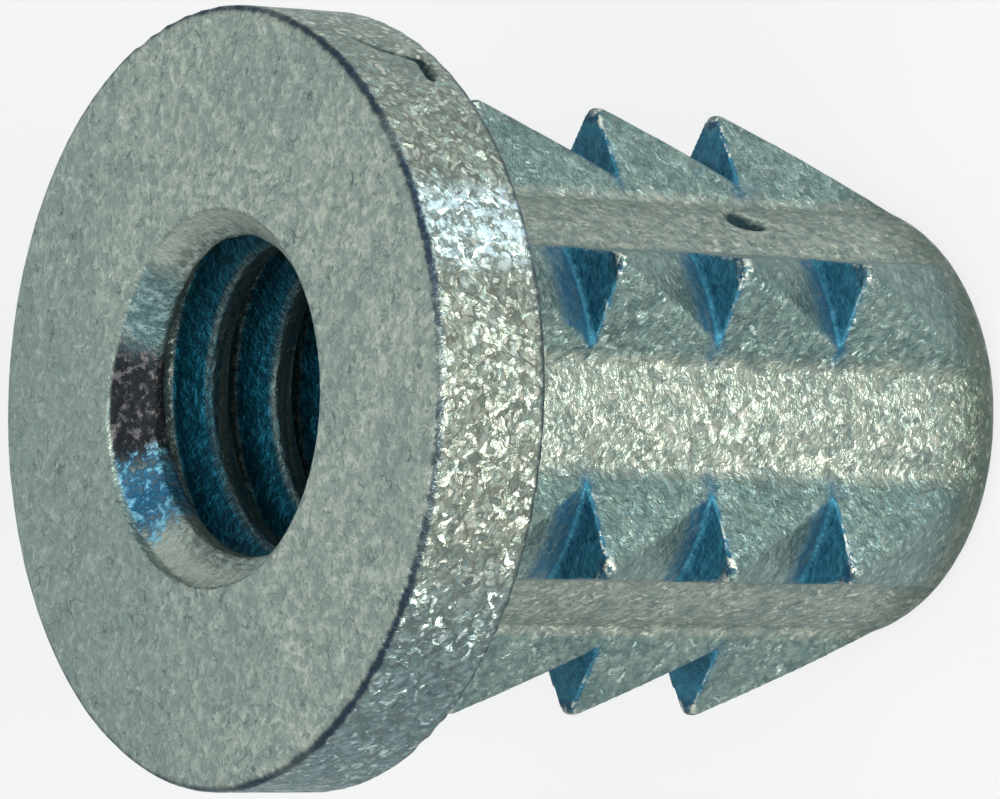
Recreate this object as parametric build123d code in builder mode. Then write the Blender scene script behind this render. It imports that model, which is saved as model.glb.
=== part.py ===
"""A flanged, barbed tee nut cast in zinc, for hammering into a hole in wood.

Millimetres. The nut stands on its insertion end, its bore on the Z axis, with the flange on top.
Row 0 of its barbs lies along +X.
"""

from build123d import *

import os
from math import cos, radians, sin, tan

os.makedirs("parts", exist_ok=True)

# Overall form
overall_length = 13.6
flange_diameter = 12.7
flange_thickness = 2.1
flange_edge_round = 0.15
body_diameter = 7.4
end_round = 0.75

# Threaded hole for a 1/4 inch screw, 20 turns to the inch. The wall stands at the thread's minor diameter.
thread_minor_diameter = 5.1
mouth_diameter = 6.14
mouth_angle = 90
end_chamfer = 0.15

# Barbs: six rows, each a ridge of triangular section, cut into teeth that point at the flange
barb_rows = 6
teeth_per_row = 3
barb_diameter = 10.14
flank_angle = 65
crest_round = 0.12
first_tooth_depth = 2.7
tooth_pitch = 2.5
ramp_angle = 24.5
ramp_run_out = 0.1
tip_round = 0.12

# Picking tolerance
near = 0.001

# Places that follow from the sizes
flange_underside = overall_length - flange_thickness
body_radius = body_diameter / 2
barb_radius = barb_diameter / 2
bore_radius = thread_minor_diameter / 2
# The barbs measure barb_diameter over their rounded tips, and this is where a sharp tip would lie.
tip_radius = barb_radius + tip_round * (tan(radians(ramp_angle)) + 1 / cos(radians(ramp_angle)) - 1)
tooth_faces = [flange_underside - first_tooth_depth - k * tooth_pitch for k in range(teeth_per_row)]
ramp_starts = [flange_underside] + tooth_faces


def ramp_radius(start, height):
    """Radius of the ramp that starts at full height at start, measured further down."""
    return tip_radius - (start - height) * tan(radians(ramp_angle))


# The rows are sunk a little way into the body, so that they join it over their whole width.
root_radius = (body_radius + bore_radius) / 2
sharp_crest = tip_radius + crest_round * (1 / sin(radians(flank_angle / 2)) - 1)
root_half_width = (sharp_crest - root_radius) * tan(radians(flank_angle / 2))

# Each ramp ends under the next tooth's steep face, and the last one runs out just below the body's surface.
run_out_radius = body_radius - ramp_run_out
last_ramp_end = ramp_starts[-1] - (tip_radius - run_out_radius) / tan(radians(ramp_angle))
saw_profile = [(0, flange_underside), (tip_radius, flange_underside)]
for start, next_face in zip(ramp_starts, tooth_faces):
    saw_profile.append((ramp_radius(start, next_face), next_face))
    saw_profile.append((tip_radius, next_face))
saw_profile.append((run_out_radius, last_ramp_end))
saw_profile.append((0, last_ramp_end))

# Section of one ridge, its crest along +X
with BuildSketch() as ridge_section:
    with BuildLine():
        Polyline(
            (root_radius, -root_half_width),
            (sharp_crest, 0),
            (root_radius, root_half_width),
            close=True,
        )
    make_face()
    fillet(ridge_section.vertices().sort_by(Axis.X)[-1], radius=crest_round)

# Barbs: long ridges, cut by one turned saw-tooth envelope
with BuildPart() as barbs:
    with BuildSketch(Plane.XY.offset(last_ramp_end)):
        with PolarLocations(0, barb_rows):
            add(ridge_section.sketch)
    extrude(amount=flange_underside - last_ramp_end)
    with BuildSketch(Plane.XZ) as saw_section:
        with BuildLine():
            Polyline(*saw_profile, close=True)
        make_face()
        tips = saw_section.vertices().filter_by(
            lambda v: v.X > tip_radius - near and v.Y < flange_underside - near
        )
        fillet(tips, radius=tip_round)
    revolve(axis=Axis.Z, mode=Mode.INTERSECT)

# Nut: flange and body turned in one profile, with the rows of barbs cast on and the hole through it
with BuildPart() as tee_nut_body:
    with BuildSketch(Plane.XZ) as turned_section:
        with BuildLine():
            Polyline(
                (0, 0),
                (body_radius, 0),
                (body_radius, flange_underside),
                (flange_diameter / 2, flange_underside),
                (flange_diameter / 2, overall_length),
                (0, overall_length),
                close=True,
            )
        make_face()
        end_corner = turned_section.vertices().filter_by(lambda v: v.X > 0 and v.Y < near)
        fillet(end_corner, radius=end_round)
        rim_corners = turned_section.vertices().filter_by(lambda v: v.X > flange_diameter / 2 - near)
        fillet(rim_corners, radius=flange_edge_round)
    revolve(axis=Axis.Z)
    add(barbs.part)
    with Locations((0, 0, overall_length)):
        CounterSinkHole(
            radius=bore_radius,
            counter_sink_radius=mouth_diameter / 2,
            depth=overall_length,
            counter_sink_angle=mouth_angle,
        )
    end_rim = tee_nut_body.edges().filter_by(GeomType.CIRCLE).group_by(Axis.Z)[0].sort_by(SortBy.RADIUS)[0]
    chamfer(end_rim, length=end_chamfer)

tee_nut_body.part.label = "tee_nut_body"
export_step(tee_nut_body.part, "parts/tee_nut_body.step")
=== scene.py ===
from math import cos, pi, radians, sin

import bmesh
import bpy
import numpy as np
from mathutils import Matrix, Vector


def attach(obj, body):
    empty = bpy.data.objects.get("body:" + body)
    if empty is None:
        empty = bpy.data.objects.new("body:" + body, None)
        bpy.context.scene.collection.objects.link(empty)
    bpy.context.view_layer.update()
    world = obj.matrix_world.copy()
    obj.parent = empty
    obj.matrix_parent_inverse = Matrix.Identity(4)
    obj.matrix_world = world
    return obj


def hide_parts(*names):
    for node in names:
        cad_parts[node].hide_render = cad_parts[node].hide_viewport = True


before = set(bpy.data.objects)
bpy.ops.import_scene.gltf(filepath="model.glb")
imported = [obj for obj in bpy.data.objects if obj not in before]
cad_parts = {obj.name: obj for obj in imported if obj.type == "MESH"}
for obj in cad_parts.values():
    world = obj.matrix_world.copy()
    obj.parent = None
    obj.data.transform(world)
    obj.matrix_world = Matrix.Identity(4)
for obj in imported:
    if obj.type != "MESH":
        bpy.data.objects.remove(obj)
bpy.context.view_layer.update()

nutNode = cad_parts["tee_nut_body"]
mm = 0.001


def addNode(tree, kind, values=None, **settings):
    made = tree.nodes.new(kind)
    for key, value in settings.items():
        setattr(made, key, value)
    for key, value in (values or {}).items():
        made.inputs[key].default_value = value
    return made


def join(tree, source, target):
    tree.links.new(source, target)
    return target


def mathNode(tree, operation, first, second=None, clamp=False):
    made = addNode(tree, "ShaderNodeMath", operation=operation, use_clamp=clamp)
    for slot, value in enumerate((first, second)):
        if value is None:
            continue
        if isinstance(value, (int, float)):
            made.inputs[slot].default_value = value
        else:
            tree.links.new(value, made.inputs[slot])
    return made.outputs[0]


def times(tree, first, second, clamp=False):
    return mathNode(tree, "MULTIPLY", first, second, clamp)


def plus(tree, first, second):
    return mathNode(tree, "ADD", first, second)


def remap(tree, value, low, high, newLow=0.0, newHigh=1.0):
    made = addNode(tree, "ShaderNodeMapRange", {"From Min": low, "From Max": high, "To Min": newLow, "To Max": newHigh})
    made.interpolation_type = "SMOOTHSTEP"
    tree.links.new(value, made.inputs["Value"])
    return made.outputs["Result"]


def mixColour(tree, amount, first, second, blend="MIX"):
    made = addNode(tree, "ShaderNodeMix", data_type="RGBA", blend_type=blend)
    for index, value in ((0, amount), (6, first), (7, second)):
        if isinstance(value, (int, float, tuple)):
            made.inputs[index].default_value = value
        else:
            tree.links.new(value, made.inputs[index])
    return made.outputs[2]


def attributeValue(tree, name):
    return addNode(tree, "ShaderNodeAttribute", attribute_name=name).outputs["Fac"]


def fromSrgb(red, green, blueReflection):
    parts = []
    for level in (red, green, blueReflection):
        level /= 255
        parts.append(level / 12.92 if level <= 0.04045 else ((level + 0.055) / 1.055) ** 2.4)
    return (*parts, 1.0)


# the camera stands where the photograph's was
cameraValues = {
    "azimuth": radians(-29.25),      # from +X, towards +Y
    "elevation": radians(35.75),
    "roll": radians(2.03),           # on top of the quarter turn that lays the nut down
    "distance": 0.1240,
    "aimHeight": 0.00725,
    "lens": 268.9,
    "shiftX": -0.0322,
    "shiftY": 0.0101,
}


def buildCamera(values):
    turn, rise, roll = values["azimuth"], values["elevation"], values["roll"]
    outward = Vector((cos(turn), sin(turn), 0))
    sideways = Vector((-sin(turn), cos(turn), 0))
    upward = Vector((0, 0, 1))
    toCamera = outward * cos(rise) + upward * sin(rise)
    right = outward * sin(rise) - upward * cos(rise)        # the nut's axis lies across the picture
    localX = right * cos(roll) + sideways * sin(roll)
    localY = sideways * cos(roll) - right * sin(roll)
    data = bpy.data.cameras.new("photoCamera")
    data.lens, data.sensor_width = values["lens"], 36
    data.shift_x, data.shift_y = values["shiftX"], values["shiftY"]
    data.clip_start, data.clip_end = 0.005, 10
    camera = bpy.data.objects.new("photoCamera", data)
    place = Matrix((localX, localY, toCamera)).transposed().to_4x4()
    place.translation = Vector((0, 0, values["aimHeight"])) + toCamera * values["distance"]
    camera.matrix_world = place
    bpy.context.collection.objects.link(camera)
    bpy.context.scene.camera = camera


buildCamera(cameraValues)
print("camera placed")


threadValues = {
    "Pitch": 1.27,
    "Major Radius": 3.175,
    "Inner Radius": 2.30,            # the cutter starts in the air of the bore
    "Groove Floor": 0.22,            # width at the major radius
    "Groove Mouth": 1.23,            # width at the inner radius
    "Start Height": 0.238,           # of the groove's middle, on the +X side
    "Turns": 12.0,
    "Steps Per Turn": 96,
    "Fade Low": 0.5,                 # below this height there is no groove
    "Fade High": 1.6,                # above this height it is full
}


def namedInput(tree, name, kind, value):
    socket = tree.interface.new_socket(name, in_out="INPUT", socket_type=kind)
    socket.default_value = value
    return socket.identifier


def geometryTree(name, values):
    tree = bpy.data.node_groups.new(name, "GeometryNodeTree")
    tree.interface.new_socket("Geometry", in_out="INPUT", socket_type="NodeSocketGeometry")
    tree.interface.new_socket("Geometry", in_out="OUTPUT", socket_type="NodeSocketGeometry")
    identifiers = {}
    for key, value in values.items():
        kind = "NodeSocketInt" if isinstance(value, int) else "NodeSocketFloat"
        identifiers[key] = namedInput(tree, key, kind, value)
    return tree, tree.nodes.new("NodeGroupInput"), tree.nodes.new("NodeGroupOutput"), identifiers


def threadTree(values, material):
    # a trapezoid swept along a helix, taken out of the blank
    tree, given, result, identifiers = geometryTree("threadGroove", values)
    radius = times(tree, plus(tree, given.outputs["Major Radius"], given.outputs["Inner Radius"]), 0.5)
    depth = mathNode(tree, "SUBTRACT", given.outputs["Major Radius"], given.outputs["Inner Radius"])
    helix = addNode(tree, "GeometryNodeCurveSpiral")
    join(tree, given.outputs["Steps Per Turn"], helix.inputs["Resolution"])
    join(tree, given.outputs["Turns"], helix.inputs["Rotations"])
    join(tree, radius, helix.inputs["Start Radius"])
    join(tree, radius, helix.inputs["End Radius"])
    join(tree, times(tree, given.outputs["Turns"], given.outputs["Pitch"]), helix.inputs["Height"])
    lift = addNode(tree, "ShaderNodeCombineXYZ")
    join(tree, given.outputs["Start Height"], lift.inputs["Z"])
    place = addNode(tree, "GeometryNodeTransform")
    join(tree, helix.outputs["Curve"], place.inputs["Geometry"])
    join(tree, lift.outputs[0], place.inputs["Translation"])
    # near the insertion end the groove runs out towards the bore's axis
    position = addNode(tree, "GeometryNodeInputPosition")
    height = addNode(tree, "ShaderNodeSeparateXYZ")
    join(tree, position.outputs[0], height.inputs[0])
    fade = addNode(tree, "ShaderNodeMapRange", {"To Min": 1.0, "To Max": 0.0}, interpolation_type="SMOOTHSTEP")
    join(tree, height.outputs["Z"], fade.inputs["Value"])
    join(tree, given.outputs["Fade Low"], fade.inputs["From Min"])
    join(tree, given.outputs["Fade High"], fade.inputs["From Max"])
    flat = addNode(tree, "ShaderNodeVectorMath", {1: (1, 1, 0)}, operation="MULTIPLY")
    join(tree, position.outputs[0], flat.inputs[0])
    inward = addNode(tree, "ShaderNodeVectorMath", operation="NORMALIZE")
    join(tree, flat.outputs[0], inward.inputs[0])
    shift = addNode(tree, "ShaderNodeVectorMath", operation="SCALE")
    join(tree, inward.outputs[0], shift.inputs[0])
    join(tree, times(tree, times(tree, fade.outputs["Result"], depth), -0.85), shift.inputs["Scale"])
    runOut = addNode(tree, "GeometryNodeSetPosition")
    join(tree, place.outputs[0], runOut.inputs["Geometry"])
    join(tree, shift.outputs[0], runOut.inputs["Offset"])
    upright = addNode(tree, "GeometryNodeSetCurveNormal", mode="Z_UP")
    join(tree, runOut.outputs[0], upright.inputs["Curve"])
    section = addNode(tree, "GeometryNodeCurvePrimitiveQuadrilateral", mode="TRAPEZOID")
    join(tree, depth, section.inputs["Height"])
    join(tree, given.outputs["Groove Floor"], section.inputs["Top Width"])
    join(tree, given.outputs["Groove Mouth"], section.inputs["Bottom Width"])
    section.inputs["Offset"].default_value = 0
    turn = addNode(tree, "GeometryNodeTransform", {"Rotation": (0, 0, pi / 2)})
    join(tree, section.outputs[0], turn.inputs["Geometry"])
    sweep = addNode(tree, "GeometryNodeCurveToMesh", {"Fill Caps": True})
    join(tree, upright.outputs[0], sweep.inputs["Curve"])
    join(tree, turn.outputs[0], sweep.inputs["Profile Curve"])
    cut = addNode(tree, "GeometryNodeMeshBoolean", operation="DIFFERENCE", solver="EXACT")
    join(tree, given.outputs["Geometry"], cut.inputs["Mesh 1"])
    join(tree, sweep.outputs[0], cut.inputs["Mesh 2"])
    real = addNode(tree, "GeometryNodeRealizeInstances")
    join(tree, cut.outputs["Mesh"], real.inputs[0])
    paint = addNode(tree, "GeometryNodeSetMaterial", {"Material": material})
    join(tree, real.outputs[0], paint.inputs["Geometry"])
    join(tree, paint.outputs[0], result.inputs[0])
    return tree, identifiers


skinValues = {
    "Wave Scale": 0.55,              # per millimetre
    "Wave Depth": 0.030,
    "Grain Scale": 2.6,
    "Grain Depth": 0.012,
    "Bore Share": 0.15,              # how much of that the tapped hole has
    "Seed": 4.0,
}


def skinTree(values, material):
    # the slightly uneven skin of a casting, laid over the remeshed nut
    tree, given, result, identifiers = geometryTree("castSkin", values)
    position = addNode(tree, "GeometryNodeInputPosition")
    normal = addNode(tree, "GeometryNodeInputNormal")
    parts = []
    for scale, depth in (("Wave Scale", "Wave Depth"), ("Grain Scale", "Grain Depth")):
        noise = addNode(tree, "ShaderNodeTexNoise", {"Detail": 2.0, "Roughness": 0.5}, noise_dimensions="4D")
        join(tree, position.outputs[0], noise.inputs["Vector"])
        join(tree, given.outputs["Seed"], noise.inputs["W"])
        join(tree, given.outputs[scale], noise.inputs["Scale"])
        parts.append(times(tree, mathNode(tree, "SUBTRACT", noise.outputs[0], 0.5), given.outputs[depth]))
    flat = addNode(tree, "ShaderNodeVectorMath", {1: (1, 1, 0)}, operation="MULTIPLY")
    join(tree, position.outputs[0], flat.inputs[0])
    radius = addNode(tree, "ShaderNodeVectorMath", operation="LENGTH")
    join(tree, flat.outputs[0], radius.inputs[0])
    share = addNode(tree, "ShaderNodeMapRange", {"From Min": 3.15, "From Max": 3.3}, interpolation_type="SMOOTHSTEP")
    join(tree, radius.outputs["Value"], share.inputs["Value"])
    join(tree, given.outputs["Bore Share"], share.inputs["To Min"])
    total = times(tree, plus(tree, *parts), share.outputs["Result"])
    push = addNode(tree, "ShaderNodeVectorMath", operation="SCALE")
    join(tree, normal.outputs[0], push.inputs[0])
    join(tree, total, push.inputs["Scale"])
    move = addNode(tree, "GeometryNodeSetPosition")
    join(tree, given.outputs["Geometry"], move.inputs["Geometry"])
    join(tree, push.outputs[0], move.inputs["Offset"])
    real = addNode(tree, "GeometryNodeRealizeInstances")
    join(tree, move.outputs[0], real.inputs[0])
    paint = addNode(tree, "GeometryNodeSetMaterial", {"Material": material})
    join(tree, real.outputs[0], paint.inputs["Geometry"])
    join(tree, paint.outputs[0], result.inputs[0])
    return tree, identifiers


def applyTree(thing, tree, identifiers, values):
    modifier = thing.modifiers.new(tree.name, "NODES")
    modifier.node_group = tree
    for key, value in values.items():
        modifier[identifiers[key]] = value
    bakeModifiers(thing)


def bakeModifiers(thing):
    graph = bpy.context.evaluated_depsgraph_get()
    made = bpy.data.meshes.new_from_object(thing.evaluated_get(graph), preserve_all_data_layers=True, depsgraph=graph)
    old = thing.data
    thing.modifiers.clear()
    thing.data = made
    bpy.data.meshes.remove(old)


# heights and radii in millimetres, angles in degrees from row 0 of the barbs
markValues = {
    "pitAngle": 33.0,
    "pitHeight": 4.33,
    "pitRadius": 3.7,
    "pitLean": 29.0,
    "pitLong": 0.34,
    "pitWide": 0.26,
    "pitDepth": 0.17,
    # angle, height and share of the depth at each corner of the slit
    "slit": [(37.0, 12.80, 0.35), (33.6, 12.50, 0.5), (32.3, 12.22, 1.0), (30.8, 11.95, 1.0), (26.0, 12.04, 0.8)],
    "slitRadius": 6.35,
    "slitWide": 0.09,
    "slitDepth": 0.14,
}


def nutPoint(angle, radius, height):
    return np.array((radius * cos(radians(angle)), radius * sin(radians(angle)), height))


def meshPoints(mesh):
    points = np.empty(len(mesh.vertices) * 3, np.float32)
    mesh.vertices.foreach_get("co", points)
    return points.reshape(-1, 3).astype(float)


def markDepths(points, values):
    # a small pit in the smooth band and a slit in the rim, as the photograph shows
    centre = nutPoint(values["pitAngle"], values["pitRadius"], values["pitHeight"])
    outward = centre * (1, 1, 0) / values["pitRadius"]
    along = np.array((-outward[1], outward[0], 0.0))
    lean = along * cos(radians(values["pitLean"])) + np.array((0, 0, 1.0)) * sin(radians(values["pitLean"]))
    across = np.cross(outward, lean)
    offset = points - centre
    a, b = offset @ lean / values["pitLong"], offset @ across / values["pitWide"]
    b = b + 0.5 * a * a                                     # bends it into a crescent
    near = np.abs(offset @ outward) < 0.6
    pit = values["pitDepth"] * np.exp(-(a * a + b * b) ** 2) * near
    slit = np.zeros(len(points))
    radius = np.hypot(points[:, 0], points[:, 1])
    onRim = points * (1, 1, 0) * (values["slitRadius"] / np.maximum(radius, 1e-6))[:, None] + points * (0, 0, 1)
    corners = [(nutPoint(angle, values["slitRadius"], height), part) for angle, height, part in values["slit"]]
    for (first, firstPart), (last, lastPart) in zip(corners, corners[1:]):
        run = last - first
        share = np.clip(((onRim - first) @ run) / (run @ run), 0, 1)
        away = np.linalg.norm(onRim - first - share[:, None] * run, axis=1)
        depth = values["slitDepth"] * (firstPart + (lastPart - firstPart) * share)
        slit = np.maximum(slit, depth * np.exp(-(away / values["slitWide"]) ** 2) * (radius > 6.0))
    return np.maximum(pit, slit)


def pressMarks(mesh, values):
    points = meshPoints(mesh)
    inward = points * (1, 1, 0)
    inward /= np.maximum(np.linalg.norm(inward, axis=1), 1e-6)[:, None]
    points -= inward * markDepths(points, values)[:, None]
    mesh.vertices.foreach_set("co", points.astype(np.float32).ravel())
    mesh.update()


toothFaces = (8.8, 6.3, 3.8)         # heights of the steep faces in millimetres


def writeShapeMasks(mesh, spread):
    # how far each point stands out of, or lies below, its blurred surroundings: wear and painted highlights on edges,
    # painted shade in corners
    count = len(mesh.vertices)
    points = meshPoints(mesh)
    normals = np.empty(count * 3, np.float32)
    mesh.vertex_normals.foreach_get("vector", normals)
    normals = normals.reshape(-1, 3).astype(float)
    edges = np.empty(len(mesh.edges) * 2, np.int32)
    mesh.edges.foreach_get("vertices", edges)
    first, second = edges.reshape(-1, 2).T
    links = np.bincount(first, minlength=count) + np.bincount(second, minlength=count)

    def blur(values):
        total = np.zeros_like(values)
        for axis in range(values.shape[1]):
            total[:, axis] = np.bincount(first, values[second, axis], count)
            total[:, axis] += np.bincount(second, values[first, axis], count)
        return 0.5 * values + 0.5 * total / links[:, None]

    blurred = points.copy()
    for _ in range(spread):
        blurred = blur(blurred)
    standing = np.einsum("ij,ij->i", points - blurred, normals)[:, None]
    for _ in range(2):
        standing = blur(standing)
    # painted shade: the steep faces of the teeth, and the ramps just before them, are darkened to blue
    radius, height = np.hypot(points[:, 0], points[:, 1]), points[:, 2]
    flatLength = np.maximum(np.hypot(normals[:, 0], normals[:, 1]), 1e-6)
    outFacing = (points[:, 0] * normals[:, 0] + points[:, 1] * normals[:, 1]) / (radius * flatLength + 1e-9)
    steep, nearTip = np.zeros(count), np.zeros(count)
    for face in toothFaces:
        above = height - face
        reach = 0.95 if face == toothFaces[0] else 0.72
        ramp = 0.78 * np.clip((reach - above) / 0.3, 0, 1) * (outFacing > 0.86)
        onFace = np.abs(above) < 0.08
        fades = np.maximum(ramp, onFace) * (above > -0.05) * np.clip((radius - 3.70) / 0.12, 0, 1)
        steep = np.maximum(steep, fades * (0.6 + 0.4 * np.clip((5.02 - radius) / 0.3, 0, 1)))
        nearTip = np.maximum(nearTip, np.clip((0.35 - np.abs(above)) / 0.2, 0, 1))
    steep = blur(steep[:, None])
    barbed = (radius > 4.3) & (radius < 5.6) & (height < 11.2)
    mouthEdge = (radius < 2.75) & (height > 12.2)
    masks = {
        # edge wear, raised on the barb tips and the mouth's edge as painted highlights
        "edgeWearAndHighlight": standing[:, 0] / 0.03 * (0.25 + 0.35 * mouthEdge + barbed * (0.10 + 0.22 * nearTip)),
        "hollow": -standing[:, 0] / 0.03,
        "toothShade": steep[:, 0],
        "marks": markDepths(points, markValues) / 0.05 - 0.3,
    }
    for name, values in masks.items():
        layer = mesh.attributes.new(name, "FLOAT", "POINT")
        layer.data.foreach_set("value", np.clip(values, 0, 1).astype(np.float32))


nutValues = {
    "voxel": 0.05,     # millimetres
    "smoothing": 2,
    "triangles": 190000,
}


def buildNut(values, castZinc):
    mesh = nutNode.data.copy()
    mesh.transform(Matrix.Scale(1 / mm, 4))
    shell = bmesh.new()
    shell.from_mesh(mesh)
    bmesh.ops.remove_doubles(shell, verts=shell.verts, dist=0.0005)
    shell.to_mesh(mesh)
    shell.free()
    mesh.materials.clear()
    nut = bpy.data.objects.new("castTeeNut", mesh)
    bpy.context.collection.objects.link(nut)
    applyTree(nut, *threadTree(threadValues, castZinc), threadValues)
    print("thread cut,", len(nut.data.polygons), "faces")
    remesh = nut.modifiers.new("remesh", "REMESH")
    remesh.mode, remesh.voxel_size, remesh.use_smooth_shade = "VOXEL", values["voxel"], True
    soften = nut.modifiers.new("soften", "SMOOTH")
    soften.factor, soften.iterations = 0.5, values["smoothing"]
    bakeModifiers(nut)
    print("remeshed,", len(nut.data.polygons), "faces")
    applyTree(nut, *skinTree(skinValues, castZinc), skinValues)
    pressMarks(nut.data, markValues)
    thin = nut.modifiers.new("thin", "DECIMATE")
    thin.ratio = min(1.0, values["triangles"] / (2 * len(nut.data.polygons)))
    bakeModifiers(nut)
    print("thinned,", len(nut.data.polygons), "faces")
    mesh = nut.data
    writeShapeMasks(mesh, 12)
    mesh.materials.clear()
    mesh.materials.append(castZinc)
    mesh.polygons.foreach_set("use_smooth", np.ones(len(mesh.polygons), bool))
    mesh.transform(Matrix.Scale(mm, 4))
    mesh.update()
    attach(nut, "root")
    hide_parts("tee_nut_body")
    return nut


def polarPlace(tree):
    # millimetres, with the distance from the bore's axis and the direction round it
    place = addNode(tree, "ShaderNodeTexCoord")
    scale = addNode(tree, "ShaderNodeMapping", {"Scale": (1000, 1000, 1000)})
    join(tree, place.outputs["Object"], scale.inputs["Vector"])
    split = addNode(tree, "ShaderNodeSeparateXYZ")
    join(tree, scale.outputs[0], split.inputs[0])
    flat = addNode(tree, "ShaderNodeVectorMath", {1: (1, 1, 0)}, operation="MULTIPLY")
    join(tree, scale.outputs[0], flat.inputs[0])
    length = addNode(tree, "ShaderNodeVectorMath", operation="LENGTH")
    join(tree, flat.outputs[0], length.inputs[0])
    around = addNode(tree, "ShaderNodeVectorMath", operation="NORMALIZE")
    join(tree, flat.outputs[0], around.inputs[0])
    return {
        "vector": scale.outputs[0],
        "z": split.outputs["Z"],
        "radius": length.outputs["Value"],
        "around": around.outputs[0],
    }


def facing(tree, place, degrees):
    # 1 on the side of the nut that looks this way, falling off round it
    turn = radians(degrees)
    made = addNode(tree, "ShaderNodeVectorMath", {1: (cos(turn), sin(turn), 0)}, operation="DOT_PRODUCT")
    join(tree, place["around"], made.inputs[0])
    return made.outputs["Value"]


def spangleGroup():
    # the mottled crystals of plated zinc: a tone, dark lines and painted glint lines, pebbles and their gaps, a height
    # and a lean
    tree = bpy.data.node_groups.new("zincSpangle", "ShaderNodeTree")
    tree.interface.new_socket("Vector", in_out="INPUT", socket_type="NodeSocketVector")
    tree.interface.new_socket("Fleck Scale", in_out="INPUT", socket_type="NodeSocketFloat").default_value = 7.5
    for name in ("Tone", "Lines", "GlintLines", "Flecks", "Gaps", "Height"):
        tree.interface.new_socket(name, in_out="OUTPUT", socket_type="NodeSocketFloat")
    tree.interface.new_socket("Lean", in_out="OUTPUT", socket_type="NodeSocketVector")
    given, result = tree.nodes.new("NodeGroupInput"), tree.nodes.new("NodeGroupOutput")
    warp = addNode(tree, "ShaderNodeTexNoise", {"Scale": 3.0, "Detail": 1.0, "Roughness": 0.6})
    join(tree, given.outputs["Vector"], warp.inputs["Vector"])
    bend = addNode(tree, "ShaderNodeVectorMath", {1: (0.5, 0.5, 0.5)}, operation="SUBTRACT")
    join(tree, warp.outputs["Color"], bend.inputs[0])
    scaled = addNode(tree, "ShaderNodeVectorMath", {"Scale": 0.55}, operation="SCALE")
    join(tree, bend.outputs[0], scaled.inputs[0])
    bent = addNode(tree, "ShaderNodeVectorMath", operation="ADD")
    join(tree, given.outputs["Vector"], bent.inputs[0])
    join(tree, scaled.outputs[0], bent.inputs[1])
    # short wandering lines where a noise passes its middle, dark in one place, and in another bright as painted glints
    broken = addNode(tree, "ShaderNodeTexNoise", {"Scale": 2.2, "Detail": 0.0})
    join(tree, given.outputs["Vector"], broken.inputs["Vector"])
    for name, scale, width, low, high in (("Lines", 2.7, 0.020, 0.46, 0.58), ("GlintLines", 3.3, 0.018, 0.54, 0.42)):
        path = addNode(tree, "ShaderNodeTexNoise", {"Scale": scale, "Detail": 1.0, "Roughness": 0.6})
        join(tree, bent.outputs[0], path.inputs["Vector"])
        offMiddle = mathNode(tree, "ABSOLUTE", mathNode(tree, "SUBTRACT", path.outputs[0], 0.5))
        line = times(tree, remap(tree, offMiddle, width, width * 0.3), remap(tree, broken.outputs[0], low, high))
        join(tree, line, result.inputs[name])
    # flecks: small pebbles that catch the light and are also painted bright as glints, the gaps between them, and the
    # way each of them leans
    flecks = addNode(tree, "ShaderNodeTexVoronoi", feature="F1")
    join(tree, bent.outputs[0], flecks.inputs["Vector"])
    join(tree, given.outputs["Fleck Scale"], flecks.inputs["Scale"])
    pick = addNode(tree, "ShaderNodeSeparateColor")
    join(tree, flecks.outputs["Color"], pick.inputs[0])
    bright = times(tree, remap(tree, pick.outputs[1], 0.72, 0.92), remap(tree, flecks.outputs["Distance"], 0.55, 0.30))
    join(tree, bright, result.inputs["Flecks"])
    join(tree, remap(tree, flecks.outputs["Distance"], 0.42, 0.66), result.inputs["Gaps"])
    centred = addNode(tree, "ShaderNodeVectorMath", {1: (0.5, 0.5, 0.5)}, operation="SUBTRACT")
    join(tree, flecks.outputs["Color"], centred.inputs[0])
    join(tree, centred.outputs[0], result.inputs["Lean"])
    # tone: the pebble's own, the slow warp's and a fine grain's
    # the bump works its height out three times, so it has the grain alone
    fine = addNode(tree, "ShaderNodeTexNoise", {"Scale": 6.5, "Detail": 3.0, "Roughness": 0.65})
    join(tree, given.outputs["Vector"], fine.inputs["Vector"])
    grain = remap(tree, fine.outputs[0], 0.3, 0.7)
    slow = plus(tree, times(tree, pick.outputs[0], 0.20), times(tree, remap(tree, warp.outputs[0], 0.3, 0.7), 0.20))
    join(tree, plus(tree, slow, times(tree, grain, 0.60)), result.inputs["Tone"])
    join(tree, grain, result.inputs["Height"])
    return tree


zincValues = {
    "body": fromSrgb(138, 150, 142),
    "pale": fromSrgb(168, 175, 162),
    "dull": fromSrgb(112, 129, 126),
    "line": fromSrgb(52, 70, 76),
    # wear on edges, and painted glints and highlights
    "wearAndGlint": fromSrgb(236, 234, 218),
    "gap": fromSrgb(112, 114, 102),
    "toothShade": fromSrgb(44, 108, 132),      # painted shade on the steep faces of the teeth
    "toothRampShade": fromSrgb(30, 78, 104),   # and a darker painted shade on the ramps just before them
    "cornerShade": fromSrgb(10, 46, 70),
    "barbTone": (0.62, 0.76, 0.82, 1),     # the barbs are duller and bluer than the rest
    "rimShadeTone": (0.62, 0.76, 0.90, 1),      # painted shade: the rim is darker and bluer on one side
    "rimShadeAngle": -88.0,
    "endShadeTone": (0.40, 0.44, 0.40, 1),      # and painted shade darkens the insertion end
    "edgeShadeLine": fromSrgb(30, 46, 62),       # painted shade: the dark line round the flat face
    # painted shade in the pit and the slit
    "pitShade": fromSrgb(14, 40, 46),
    "rimHighlight": fromSrgb(216, 242, 250),     # a painted highlight on the rim
    # where the painted shade on the flat face is deepest, in degrees from row 0 of the barbs
    "faceShadeAngle": 178.0,
    "rimHighlightAngle": -2.5,                   # degrees from row 0 of the barbs
    "metallic": 0.85,
    "grazing": (0.74, 0.82, 0.84, 1),
    "bump": 0.4,
    "rimTilt": 0.85,                       # how far single crystals lean on the flange's rim
    "bodyTilt": 0.38,
    "faceTilt": 0.22,
}


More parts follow.
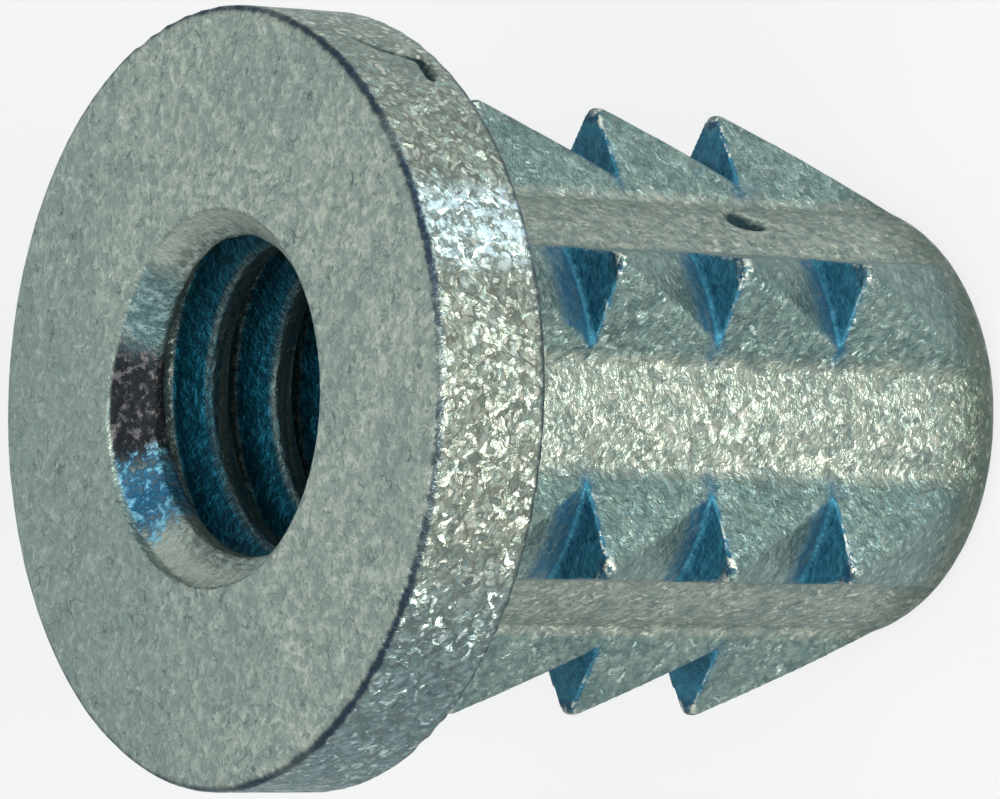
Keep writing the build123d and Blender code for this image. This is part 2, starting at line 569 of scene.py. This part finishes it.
def castLook(tree, place, crystals, values):
    flatFace = remap(tree, place["z"], 13.40, 13.58)
    onRim = times(tree, remap(tree, place["radius"], 5.6, 6.1), mathNode(tree, "SUBTRACT", 1.0, flatFace))
    tone, edgeWearHighlight, marks = crystals.outputs["Tone"], attributeValue(tree, "edgeWearAndHighlight"), attributeValue(tree, "marks")
    colour = mixColour(tree, remap(tree, tone, 0.15, 0.85), values["dull"], values["pale"])
    colour = mixColour(tree, remap(tree, flatFace, 0.0, 1.0, 0.25, 0.40), colour, values["body"])
    # painted shade: the face is a little darker on one side
    side = times(tree, facing(tree, place, values["faceShadeAngle"]), place["radius"])
    side = times(tree, remap(tree, side, -2.0, 7.0), flatFace)
    colour = mixColour(tree, times(tree, side, 0.75), colour, values["dull"])
    cloud = addNode(tree, "ShaderNodeTexNoise", {"Scale": 0.45, "Detail": 2.0, "Roughness": 0.55})
    join(tree, place["vector"], cloud.inputs["Vector"])
    colour = mixColour(tree, remap(tree, cloud.outputs[0], 0.35, 0.75, 0.0, 0.45), colour, values["dull"])
    lines = times(tree, crystals.outputs["Lines"], remap(tree, flatFace, 0.0, 1.0, 0.50, 0.45))
    colour = mixColour(tree, lines, colour, values["line"])
    offFace = remap(tree, flatFace, 0.0, 1.0, 0.42, 0.08)
    # painted glints: bright wandering lines, fewer on the rim and the flat face
    glintLineShare = mathNode(tree, "SUBTRACT", offFace, times(tree, onRim, 0.20))
    colour = mixColour(tree, times(tree, crystals.outputs["GlintLines"], glintLineShare), colour, values["wearAndGlint"])
    gaps = plus(tree, remap(tree, flatFace, 0.0, 1.0, 0.22, 0.06), times(tree, onRim, 0.40))
    colour = mixColour(tree, times(tree, crystals.outputs["Gaps"], gaps), colour, values["gap"])
    # painted glints: bright flecks, most on the rim
    flecks = times(tree, crystals.outputs["Flecks"], plus(tree, offFace, times(tree, onRim, 0.3)))
    colour = mixColour(tree, flecks, colour, values["wearAndGlint"])
    onBarbs = times(tree, remap(tree, place["radius"], 3.72, 3.90), remap(tree, place["z"], 11.45, 11.30))
    colour = mixColour(tree, onBarbs, colour, values["barbTone"], "MULTIPLY")
    # painted shade towards the insertion end
    colour = mixColour(tree, remap(tree, place["z"], 2.0, 0.4, 0.0, 1.0), colour, values["endShadeTone"], "MULTIPLY")
    # painted shade on one side of the rim
    low = times(tree, remap(tree, facing(tree, place, values["rimShadeAngle"]), 0.72, 0.98), onRim)
    colour = mixColour(tree, low, colour, values["rimShadeTone"], "MULTIPLY")
    # painted blue shade on the steep faces of the teeth, and a darker painted shade on the ramps just before them
    toothShadeMask = attributeValue(tree, "toothShade")
    toothShade = times(tree, toothShadeMask, remap(tree, tone, 0.0, 1.0, 1.1, 0.7), clamp=True)
    toothShadeColour = mixColour(tree, remap(tree, toothShadeMask, 0.80, 0.92), values["toothRampShade"], values["toothShade"])
    colour = mixColour(tree, times(tree, toothShade, 1.25, clamp=True), colour, toothShadeColour)
    # painted shade, deepest in the corners of the teeth
    cornerShade = times(tree, times(tree, attributeValue(tree, "hollow"), toothShade), 0.4)
    colour = mixColour(tree, cornerShade, colour, values["cornerShade"])
    # wear on the standing edges, partly painted highlight
    edgeWearHighlightShare = times(tree, remap(tree, edgeWearHighlight, 0.40, 0.95), remap(tree, tone, 0.44, 0.60))
    colour = mixColour(tree, times(tree, edgeWearHighlightShare, 0.75), colour, values["wearAndGlint"])
    # a painted highlight on the rim
    rimHighlight = times(tree, remap(tree, facing(tree, place, values["rimHighlightAngle"]), 0.990, 0.9995), onRim)
    rimHighlight = times(tree, rimHighlight, remap(tree, tone, 0.42, 0.60, 0.12, 0.80))
    colour = mixColour(tree, rimHighlight, colour, values["rimHighlight"])
    # painted shade: a dark, broken line round the edge of the flat face, and a thinner one under the flange
    outOfRim = mathNode(tree, "SUBTRACT", place["radius"], 6.30)
    offTop = mathNode(tree, "SUBTRACT", place["z"], 13.53)
    away = mathNode(tree, "SQRT", plus(tree, times(tree, outOfRim, outOfRim), times(tree, offTop, offTop)))
    edgeShadeLine = remap(tree, plus(tree, away, times(tree, tone, 0.05)), 0.13, 0.05)
    edgeShadeLine = times(tree, edgeShadeLine, remap(tree, cloud.outputs[0], 0.30, 0.55, 0.45, 0.95))
    under = mathNode(tree, "ABSOLUTE", mathNode(tree, "SUBTRACT", place["z"], 11.52))
    underLine = times(tree, remap(tree, under, 0.17, 0.07), remap(tree, place["radius"], 6.0, 6.2))
    edgeShadeLine = mathNode(tree, "MAXIMUM", edgeShadeLine, times(tree, underLine, 0.8))
    colour = mixColour(tree, edgeShadeLine, colour, values["edgeShadeLine"])
    # painted shade in the pit and the slit
    colour = mixColour(tree, marks, colour, values["pitShade"])
    rough = remap(tree, tone, 0.1, 0.9, 0.50, 0.35)
    rough = mathNode(tree, "SUBTRACT", rough, times(tree, crystals.outputs["Flecks"], 0.08))
    rough = plus(tree, rough, times(tree, crystals.outputs["Lines"], 0.15))
    # the places with painted shade on the teeth, in the pit and in the slit are also rougher and less metallic
    paintedShadeSpots = mathNode(tree, "MAXIMUM", toothShade, marks)
    rough = plus(tree, rough, times(tree, paintedShadeSpots, 0.25))
    metallic = mathNode(tree, "SUBTRACT", values["metallic"], times(tree, paintedShadeSpots, 0.40))
    tilt = remap(tree, flatFace, 0.0, 1.0, values["bodyTilt"], values["faceTilt"])
    tilt = plus(tree, tilt, times(tree, onRim, values["rimTilt"] - values["bodyTilt"]))
    return colour, rough, metallic, tilt


tappedValues = {
    "bright": fromSrgb(160, 174, 166),
    "brown": fromSrgb(104, 114, 108),
    "skyReflection": fromSrgb(66, 100, 108),
    "skyReflectionLight": fromSrgb(116, 146, 146),
    "blueReflection": fromSrgb(8, 84, 120),
    "blueReflectionLight": fromSrgb(120, 184, 206),
    "darkReflection": fromSrgb(22, 24, 32),
    "darkReflectionLight": fromSrgb(96, 92, 94),
    "skyReflectionAngle": 124.0,               # degrees from row 0 of the barbs
    "darkReflectionAngle": 155.0,
    "blueReflectionAngle": 186.0,
    "lip": fromSrgb(160, 170, 160),
    "deep": fromSrgb(13, 90, 112),
    "deeper": fromSrgb(6, 62, 78),
    "crest": fromSrgb(104, 116, 108),
    "edgeRadius": 3.17,              # the machined part ends here
    "edgeHeight": 13.56,
}


def tappedLook(tree, place, crystals, values):
    # the machined mouth and thread, with cutting lines round the hole
    stretched = addNode(tree, "ShaderNodeCombineXYZ")
    join(tree, times(tree, place["radius"], 9.0), stretched.inputs["X"])
    join(tree, times(tree, place["z"], 9.0), stretched.inputs["Y"])
    join(tree, times(tree, facing(tree, place, values["darkReflectionAngle"]), 2.0), stretched.inputs["Z"])
    streak = addNode(tree, "ShaderNodeTexNoise", {"Scale": 1.3, "Detail": 2.0, "Roughness": 0.6})
    join(tree, stretched.outputs[0], streak.inputs["Vector"])
    mottle = plus(tree, times(tree, streak.outputs[0], 0.5), times(tree, crystals.outputs["Tone"], 0.5))
    colour = mixColour(tree, remap(tree, mottle, 0.30, 0.70), values["brown"], values["bright"])
    ragged = plus(tree, times(tree, streak.outputs[0], 0.02), times(tree, crystals.outputs["Tone"], 0.06))
    # painted reflections in the machined mouth, in patches by direction round the hole
    reflectionPatches = None
    for key, low, high, most in (("skyReflection", 0.93, 1.02, 0.75), ("darkReflection", 0.930, 1.01, 0.97), ("blueReflection", 0.990, 1.040, 0.95)):
        patch = remap(tree, plus(tree, facing(tree, place, values[key + "Angle"]), ragged), low, high, 0.0, most)
        tinted = mixColour(tree, remap(tree, crystals.outputs["Tone"], 0.45, 0.95), values[key], values[key + "Light"])
        colour = mixColour(tree, patch, colour, tinted)
        reflectionPatches = patch if reflectionPatches is None else mathNode(tree, "MAXIMUM", reflectionPatches, patch)
    lip = times(tree, remap(tree, place["radius"], 2.65, 2.95), remap(tree, reflectionPatches, 0.0, 0.5, 0.9, 0.0))
    colour = mixColour(tree, times(tree, lip, remap(tree, place["z"], 12.8, 13.1)), colour, values["lip"])
    # the tapped hole turns deep teal further in: its own tint, darkened further as painted shade
    deep = mixColour(tree, remap(tree, mottle, 0.35, 0.65), values["deeper"], values["deep"])
    colour = mixColour(tree, remap(tree, place["z"], 12.72, 12.45, 0.0, 0.95), colour, deep)
    crest = times(tree, remap(tree, place["radius"], 2.70, 2.58), remap(tree, place["z"], 12.6, 12.3))
    crest = times(tree, crest, remap(tree, streak.outputs[0], 0.35, 0.65, 0.2, 0.8))
    colour = mixColour(tree, crest, colour, values["crest"])
    # wear on the edges of the mouth and thread, partly painted highlight
    wearAndGlint = remap(tree, attributeValue(tree, "edgeWearAndHighlight"), 0.60, 1.0)
    wearAndGlint = times(tree, wearAndGlint, remap(tree, place["z"], 12.3, 12.6, 0.1, 0.8))
    colour = mixColour(tree, wearAndGlint, colour, values["bright"])
    rough = remap(tree, mottle, 0.3, 0.7, 0.60, 0.42)
    inside = times(tree, remap(tree, place["radius"], values["edgeRadius"] + 0.02, values["edgeRadius"] - 0.03),
                      remap(tree, place["z"], values["edgeHeight"] + 0.02, values["edgeHeight"] - 0.03))
    inside = times(tree, inside, remap(tree, place["z"], 0.25, 0.45))
    return colour, rough, inside


def buildZinc(values, tappedValues):
    material = bpy.data.materials.new("castZinc")
    material.use_nodes = True
    tree = material.node_tree
    shader = tree.nodes["Principled BSDF"]
    shader.inputs["Specular Tint"].default_value = values["grazing"]
    place = polarPlace(tree)
    crystals = addNode(tree, "ShaderNodeGroup", node_tree=spangleGroup())
    join(tree, place["vector"], crystals.inputs["Vector"])
    colour, rough, metallic, tilt = castLook(tree, place, crystals, values)
    tappedColour, tappedRough, inside = tappedLook(tree, place, crystals, tappedValues)
    join(tree, mixColour(tree, inside, colour, tappedColour), shader.inputs["Base Color"])
    outside = mathNode(tree, "SUBTRACT", 1.0, inside)
    rough = plus(tree, times(tree, rough, outside), times(tree, tappedRough, inside))
    join(tree, rough, shader.inputs["Roughness"])
    join(tree, metallic, shader.inputs["Metallic"])
    bump = addNode(tree, "ShaderNodeBump", {"Strength": values["bump"], "Distance": 0.00005})
    join(tree, crystals.outputs["Height"], bump.inputs["Height"])
    lean = addNode(tree, "ShaderNodeVectorMath", operation="SCALE")
    join(tree, crystals.outputs["Lean"], lean.inputs[0])
    join(tree, times(tree, tilt, outside), lean.inputs["Scale"])
    leaning = addNode(tree, "ShaderNodeVectorMath", operation="ADD")
    join(tree, bump.outputs[0], leaning.inputs[0])
    join(tree, lean.outputs[0], leaning.inputs[1])
    unit = addNode(tree, "ShaderNodeVectorMath", operation="NORMALIZE")
    join(tree, leaning.outputs[0], unit.inputs[0])
    join(tree, unit.outputs[0], shader.inputs["Normal"])
    return material


castZinc = buildZinc(zincValues, tappedValues)
buildNut(nutValues, castZinc)
print("nut built")


stageValues = {
    "floorSize": 1.2,
    "floorColour": (0.88, 0.88, 0.88, 1),
    "floorGlow": 0.78,               # share of plain white that the camera and the metal see on the floor
    "worldColour": fromSrgb(150, 172, 180),
    "worldStrength": 0.35,
    "lamps": {
        # name: direction (azimuth, elevation) in degrees, distance, size, power in watts, colour
        "keyLamp": ((-28, 8), 0.45, 0.12, 3.0, (1.0, 0.975, 0.88)),
        "windowLamp": ((26, 4), 0.45, 0.05, 0.35, (0.50, 0.82, 1.0)),
        "backLamp": ((150, 38), 0.45, 0.30, 0.27, (0.96, 1.0, 0.98)),
        "frontLamp": ((-35, 60), 0.45, 0.25, 0.8, (0.95, 0.99, 1.0)),
    },
}


def seesBackground(tree):
    # 1 for rays that come from the camera or off a mirror-like surface
    path = addNode(tree, "ShaderNodeLightPath")
    seen = mathNode(tree, "ADD", path.outputs["Is Camera Ray"], path.outputs["Is Glossy Ray"], clamp=True)
    return mathNode(tree, "ADD", seen, path.outputs["Is Transmission Ray"], clamp=True)


def buildStage(values):
    half = values["floorSize"] / 2
    mesh = bpy.data.meshes.new("floor")
    mesh.from_pydata([(-half, -half, 0), (half, -half, 0), (half, half, 0), (-half, half, 0)], [], [(0, 1, 2, 3)])
    floor = bpy.data.objects.new("floor", mesh)
    bpy.context.collection.objects.link(floor)
    material = bpy.data.materials.new("paleFloor")
    material.use_nodes = True
    tree = material.node_tree
    shader = tree.nodes["Principled BSDF"]
    shader.inputs["Base Color"].default_value = values["floorColour"]
    shader.inputs["Roughness"].default_value = 0.9
    shader.inputs["Specular IOR Level"].default_value = 0.1
    glow = addNode(tree, "ShaderNodeEmission", {"Strength": 1.0})
    blend = addNode(tree, "ShaderNodeMixShader")
    join(tree, times(tree, seesBackground(tree), values["floorGlow"]), blend.inputs[0])
    join(tree, shader.outputs[0], blend.inputs[1])
    join(tree, glow.outputs[0], blend.inputs[2])
    join(tree, blend.outputs[0], tree.nodes["Material Output"].inputs["Surface"])
    mesh.materials.append(material)

    world = bpy.data.worlds.new("softRoom")
    world.use_nodes = True
    bpy.context.scene.world = world
    tree = world.node_tree
    room = tree.nodes["Background"]
    room.inputs["Color"].default_value = values["worldColour"]
    room.inputs["Strength"].default_value = values["worldStrength"]
    white = addNode(tree, "ShaderNodeBackground", {"Strength": 1.0})
    blend = addNode(tree, "ShaderNodeMixShader")
    join(tree, seesBackground(tree), blend.inputs[0])
    join(tree, room.outputs[0], blend.inputs[1])
    join(tree, white.outputs[0], blend.inputs[2])
    join(tree, blend.outputs[0], tree.nodes["World Output"].inputs["Surface"])

    for name, ((turn, rise), distance, size, power, colour) in values["lamps"].items():
        data = bpy.data.lights.new(name, "AREA")
        data.shape, data.size, data.energy, data.color = "SQUARE", size, power, colour
        lamp = bpy.data.objects.new(name, data)
        turn, rise = radians(turn), radians(rise)
        direction = Vector((cos(turn) * cos(rise), sin(turn) * cos(rise), sin(rise)))
        lamp.location = Vector((0, 0, 0.006)) + direction * distance
        lamp.rotation_euler = direction.to_track_quat("Z", "Y").to_euler()
        bpy.context.collection.objects.link(lamp)
    bpy.context.scene.view_settings.view_transform = "Standard"


buildStage(stageValues)
print("stage lit")
